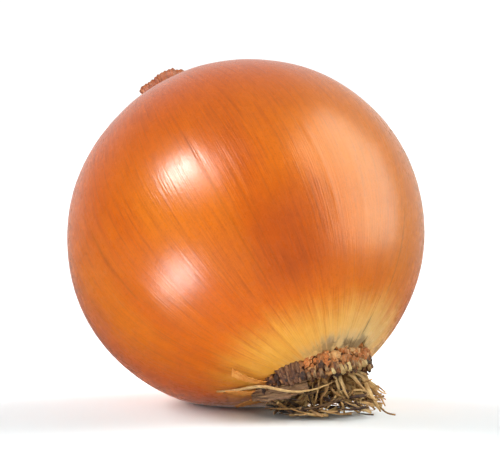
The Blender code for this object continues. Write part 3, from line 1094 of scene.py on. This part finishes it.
nest = root_curve(paths, "root_nest")
bpy.data.objects.remove(section, do_unlink=True)
per_root = len(nest.data.vertices) // len(paths)
mark(nest.data, "shade", np.repeat(shades, per_root)[: len(nest.data.vertices)])
finish_piece(nest, "root_nest", straw.material)

# %% [markdown]
# ## The dry neck
#
# The leaves were twisted off above the bulb, and what is left has dried to a stub of papery folds. It is a
# few open tubes inside each other, each folded, flared and torn at its top, with a core that closes them.

# %% Neck
NECK_LAYERS, NECK_LEAF = 5, 0.22 * MM
CORE_WIDE, CORE_RISE, CORE_TALL = NECK_RADIUS * 0.8, 0.8 * MM, 2.6 * MM


def on_neck(places):
    """Places measured from the middle of the neck's seat, taken to the world."""
    return moved(places + (0, NECK_OFFSET, NECK_SEAT_HEIGHT), BULB_FRAME)


neck_rng = random.Random(3)
layers = []
for number in range(NECK_LAYERS):
    size = 1 - 0.17 * number
    tall = NECK_HEIGHT * (0.86 + 0.09 * number)
    open_tube = {"vertices": 120, "radius": 1, "depth": 1, "end_fill_type": "NOTHING"}
    layer = added(bpy.ops.mesh.primitive_cylinder_add, **open_tube)
    with editing():
        bpy.ops.mesh.subdivide(number_cuts=3)
    tube = points_of(layer.data)
    turn = np.arctan2(tube[:, 1], tube[:, 0])
    up = tube[:, 2] + 0.5
    phase = neck_rng.uniform(0, 6)
    fold = 1 + 0.09 * np.cos(5 * turn + phase + 1.2 * up) + 0.05 * np.cos(13 * turn + 2 * phase + up)
    flare = 1 + 0.10 * ramp(up, 0.5, 1) - 0.10 * hump(up, 0.35, 0.3)
    torn = 0.06 * np.sin(4 * turn + phase) + 0.04 * np.sin(13 * turn + 2 * phase) + 0.025 * np.sin(41 * turn)
    radius = NECK_RADIUS * size * fold * flare
    height = tall * (up + torn * up) - 1.2 * MM * (1 - up)
    set_points(layer.data, on_neck(turned(radius, turn, height)))
    apply_modifier(layer, "SOLIDIFY", thickness=NECK_LEAF, offset=0)
    layers.append(layer)

core = added(bpy.ops.mesh.primitive_uv_sphere_add, segments=48, ring_count=20, radius=1)
ball = points_of(core.data)
wide = CORE_WIDE * (1 + 0.08 * np.cos(7 * np.arctan2(ball[:, 1], ball[:, 0])))
local = np.stack((ball[:, 0] * wide, ball[:, 1] * wide, CORE_RISE + ball[:, 2] * CORE_TALL), -1)
set_points(core.data, on_neck(local))
neck = joined([core, *layers])

paper = Finish("folded_neck_leaf")
place = paper.object_place(BULB_FRAME)
x, y, z = paper.parts(place)
out = (x * x + y * y) ** 0.5
lengthwise = paper.vector(x / out * 22, y / out * 22, z * 200)
grain = paper.noise(lengthwise, 1.0, 3.0, 0.6)
grit = paper.noise(place, 900, 3.0, 0.6)
brown = paper.ramp(grain * 0.6 + grit * 0.4, ((0.3, 120, 52, 16), (0.5, 188, 92, 34), (0.7, 214, 128, 62)))
paper.coat(brown, 0.6, 0.4, grain * 0.3 + grit * 0.1)
finish_piece(neck, "dry_neck_leaves", paper.material, ["dry_neck"])


# %% [markdown]
# ## Torn skin and the old scale
#
# Slivers of skin have peeled off beside the crown and stand away at their tips. Each is a grid laid along the
# skin, narrowed and lifted by a rule, and given its thickness by Solidify. The stiff brown scrap below them is
# the edge of an older scale, ribbed along its length. The last strip is a flake of weathered cork that hangs
# over the left flank of the crown.

# %% Strip helper
SLIVER_LIFT = 0.25  # millimetres


def strip_mesh(long_cuts, cross_cuts, place_rule, thickness):
    """A grid bent by a rule that takes (along 0 to 1, across -1 to 1) arrays to world places."""
    cuts = {"x_subdivisions": long_cuts, "y_subdivisions": cross_cuts}
    strip = added(bpy.ops.mesh.primitive_grid_add, **cuts, size=2)
    flat = points_of(strip.data)
    set_points(strip.data, place_rule((flat[:, 0] + 1) / 2, flat[:, 1]))
    mark(strip.data, "along", (flat[:, 0] + 1) / 2)
    mark(strip.data, "across", flat[:, 1])
    apply_modifier(strip, "SOLIDIFY", thickness=thickness, offset=0)
    return strip


def sliver_rule(start, end, widths, lifts, curl, seed):
    """Lies along the skin from start to end, given as (angle, around), and curls across its width."""

    def rule(along, across):
        angle = start[0] + (end[0] - start[0]) * along
        around = start[1] + (end[1] - start[1]) * along
        width = np.interp(along, (0, 0.5, 1), widths)
        ragged = 1 + 0.15 * np.sin(along * 31 + seed) + 0.12 * np.sin(along * 57 + across * 2 + seed)
        angle = angle + across * width * ragged * 0.35
        around = around + across * width * ragged / np.sin(np.radians(angle))
        lift = np.interp(along, (0, 0.3, 1), lifts) + curl * across**2
        return skin(angle, around, (lift + SLIVER_LIFT) * MM)

    return rule


def ribbed(name, runs, breaks, scale, share, stops, roughness, gloss, heights):
    """A material with ribs along a strip. Runs says how fast they change along, at a slant and across."""
    finish = Finish(name)
    along, across = finish.attribute("along"), finish.attribute("across")
    pattern = finish.vector(along * runs[0] + across * runs[1], across * runs[2], 0.0)
    ribs = finish.noise(pattern, 1.0, 3.0, breaks)
    grit = finish.noise(finish.object_place(), scale, 3.0, 0.6)
    colour = finish.ramp(ribs * share + grit * (1 - share), stops)
    return finish.coat(colour, roughness, gloss, ribs * heights[0] + grit * heights[1])


# %% Slivers
ambers = ((0.3, 206, 104, 30), (0.5, 242, 158, 68), (0.72, 252, 200, 120))
amber = ribbed("amber_sliver", (3, 0, 9), 0.6, 900, 0.7, ambers, 0.6, 0.15, (0.2, 0.08))

# start and end as (angle, around), widths in degrees, lifts in mm, curl
SLIVERS = (
    ((20.5, -103.0), (33.5, -95.5), (0.8, 1.1, 1.7), (0.4, 0.9, 1.8), 0.15),
    ((21.5, -119.0), (32.5, -117.5), (1.5, 1.2, 0.5), (0.5, 0.7, 1.1), 0.1),
    ((21.0, -131.0), (30.5, -139.0), (1.9, 1.5, 0.5), (0.4, 0.6, 1.0), 0.1),
)
for number, (start, end, widths, lifts, curl) in enumerate(SLIVERS, start=1):
    sliver = strip_mesh(36, 8, sliver_rule(start, end, widths, lifts, curl, number), 0.16 * MM)
    finish_piece(sliver, f"skin_sliver_{number}", amber, [f"skin_strip_{number}"])


# %% Old scale
def scale_rule(along, across):
    down = (across + 1) / 2
    around = np.radians(-54 - 50 * along)
    ribs = 0.10 * np.sin(down * 22) + 0.06 * np.sin(down * 47 + along * 5)
    radius = PLATE_RADIUS * (0.98 + 0.56 * along) + (ribs + 0.5) * MM
    top = PLATE_HEIGHT + (1.3 - 0.6 * along) * MM
    height = 3.3 * MM * (0.45 + 0.55 * np.sin(np.pi * (0.12 + 0.8 * along)))
    ragged = 0.05 * np.sin(along * 19) + 0.04 * np.sin(along * 53 + 1)
    drop = top + height * down * (1 + ragged * down)
    places = moved(turned(radius, around, -drop), PLATE_FRAME)
    places[:, 2] = np.maximum(places[:, 2], 0.4 * MM)
    return places


old_scale = strip_mesh(60, 26, scale_rule, 0.45 * MM)
grey_browns = ((0.3, 74, 44, 24), (0.5, 132, 94, 58), (0.72, 182, 142, 94))
bark = ribbed("ribbed_scale", (3, 0, 7), 0.65, 1200, 0.75, grey_browns, 0.75, 0.3, (0.35, 0.1))
finish_piece(old_scale, "old_scale_scrap", bark, ["dry_scale"])


# %% Weathered flake on the crown
def flake_rule(along, across):
    down = (across + 1) / 2
    around = -76 + 19 * along + 6 * down
    ribs = 0.16 * np.sin(down * 9 + along * 26) + 0.08 * np.sin(along * 61 + down * 13)
    radius = smooth_edge(around) + (0.45 - 0.9 * down**2) * MM + ribs * MM
    top = skin_level(around) + (0.3 + 0.25 * np.sin(along * 19)) * MM
    long = (4.6 + 0.35 * np.sin(along * 33) + 0.2 * np.sin(along * 71)) * MM
    long = long * (0.55 + 0.45 * np.sin(np.pi * (0.25 + 0.5 * along)))
    return moved(turned(radius, np.radians(around), top - long * down), PLATE_FRAME)


flake = strip_mesh(70, 24, flake_rule, 0.4 * MM)
umbers = ((0.3, 38, 18, 8), (0.48, 98, 56, 30), (0.7, 172, 122, 76))
weathered = ribbed("weathered_cork", (16, 2.2, 1.2), 0.65, 1300, 0.75, umbers, 0.8, 0.3, (0.3, 0.1))
finish_piece(flake, "weathered_flake", weathered)
